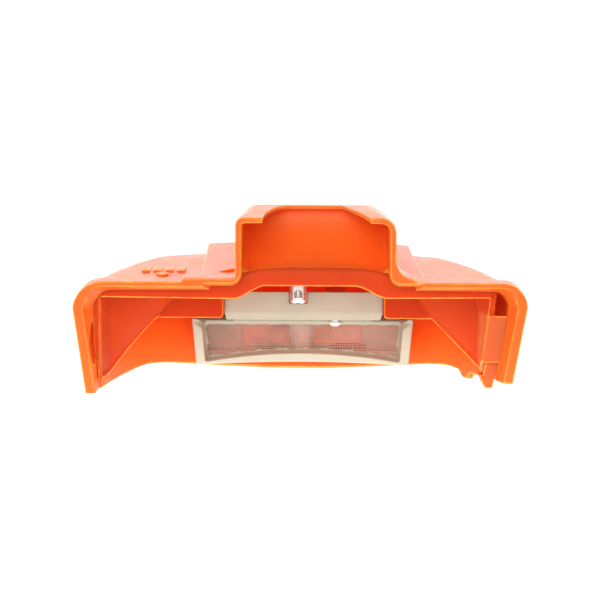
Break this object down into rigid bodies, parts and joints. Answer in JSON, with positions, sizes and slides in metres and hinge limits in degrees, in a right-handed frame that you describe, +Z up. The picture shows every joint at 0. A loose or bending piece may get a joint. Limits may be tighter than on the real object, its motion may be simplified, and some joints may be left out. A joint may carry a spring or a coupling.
{
  "type": "air filter housing",
  "caption": "Moulded air filter cover for a small engine, with a hump and scoop, a quarter-turn lock and a slide-in mesh filter cassette.",
  "frame": {"origin": "middle of the footprint, on the surface that the cover stands on", "axes": "+X right along the width as seen from the open front, +Y away from the open front, +Z up"},
  "size_m": [0.1408, 0.072, 0.0573],
  "materials": {
    "orange_plastic": "satin injection-moulded polyamide",
    "orange_inner": "satin injection-moulded polyamide, inner parts",
    "black_plastic": "fine matt moulded",
    "bush_plastic": "smooth acetal",
    "seal_rubber": "matt rubber",
    "zinc_steel": "bright zinc-plated, turned",
    "spring_steel": "drawn wire",
    "beige_plastic": "satin moulded",
    "white_nylon": "smooth",
    "filter_mesh": "fine woven polyamide mesh, slightly soiled"
  },
  "bodies": {
    "cover": {"cover_shell": "orange_plastic", "inner_baffle": "orange_inner", "lock_bush": "bush_plastic", "lock_seal": "seal_rubber", "spring_seat": "zinc_steel", "lock_spring": "spring_steel"},
    "lock_carriage": {"lock_washer": "zinc_steel"},
    "lock": {"lock_knob": "black_plastic", "lock_stud": "zinc_steel", "lock_cross_pin": "zinc_steel", "lock_retainer": "spring_steel"},
    "filter": {"filter_frame_front": "beige_plastic", "filter_frame_rear": "beige_plastic", "filter_gasket": "seal_rubber", "filter_weld_pins": "beige_plastic", "filter_mesh_front": "filter_mesh", "filter_mesh_rear": "filter_mesh", "filter_post": "beige_plastic", "filter_peg": "white_nylon", "filter_outlet_ring": "seal_rubber"}
  },
  "joints": [
    {"name": "lock_press", "type": "slide", "parent": "cover", "child": "lock_carriage", "axis": [0, 0, -1], "range_m": [0, 0.003], "stiffness_N_per_m": 1000, "springref_m": -0.002, "deforming": ["lock_spring"]},
    {"name": "lock_turn", "type": "hinge", "parent": "lock_carriage", "child": "lock", "pos_m": [-0.0006, 0.002, 0.05], "axis": [0, 0, 1], "range_deg": [0, 90]},
    {"name": "filter_slide", "type": "slide", "parent": "cover", "child": "filter", "axis": [0, -1, 0], "range_m": [0, 0.068]}
  ]
}
